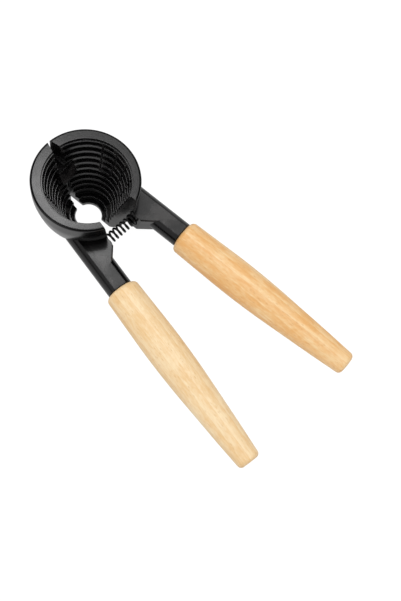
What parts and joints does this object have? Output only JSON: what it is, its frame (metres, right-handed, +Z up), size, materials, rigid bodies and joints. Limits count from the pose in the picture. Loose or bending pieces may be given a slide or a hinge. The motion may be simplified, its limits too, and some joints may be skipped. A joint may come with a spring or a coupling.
{
  "type": "nutcracker",
  "caption": "Cone nutcracker with two ribbed half-funnel jaws on a hinge pin, a return spring and turned wooden handles.",
  "frame": {"origin": "centre of the bounding box's bottom face, level with the funnel's small end, with the jaws open", "axes": "+Z up out of the funnel's mouth and along the hinge pin; +Y towards the hinge, with the handles running towards -Y; +X towards the right jaw"},
  "size_m": [0.0876, 0.1992, 0.053],
  "materials": {
    "cast_black": "satin",
    "spring_black": "gloss",
    "pin_steel": "satin",
    "beech_pale": "matte",
    "beech_warm": "matte"
  },
  "bodies": {
    "left_half": {"left_jaw": "cast_black", "hinge_pin": "pin_steel", "return_spring": "spring_black", "left_handle": "beech_pale"},
    "right_half": {"right_jaw": "cast_black", "right_handle": "beech_warm"}
  },
  "joints": [
    {"name": "handle_squeeze", "type": "hinge", "parent": "left_half", "child": "right_half", "pos_m": [0, 0.08991, 0], "axis": [0, 0, -1], "range_deg": [0, 14.4], "stiffness_Nm_per_rad": 8, "deforming": ["return_spring"]}
  ]
}
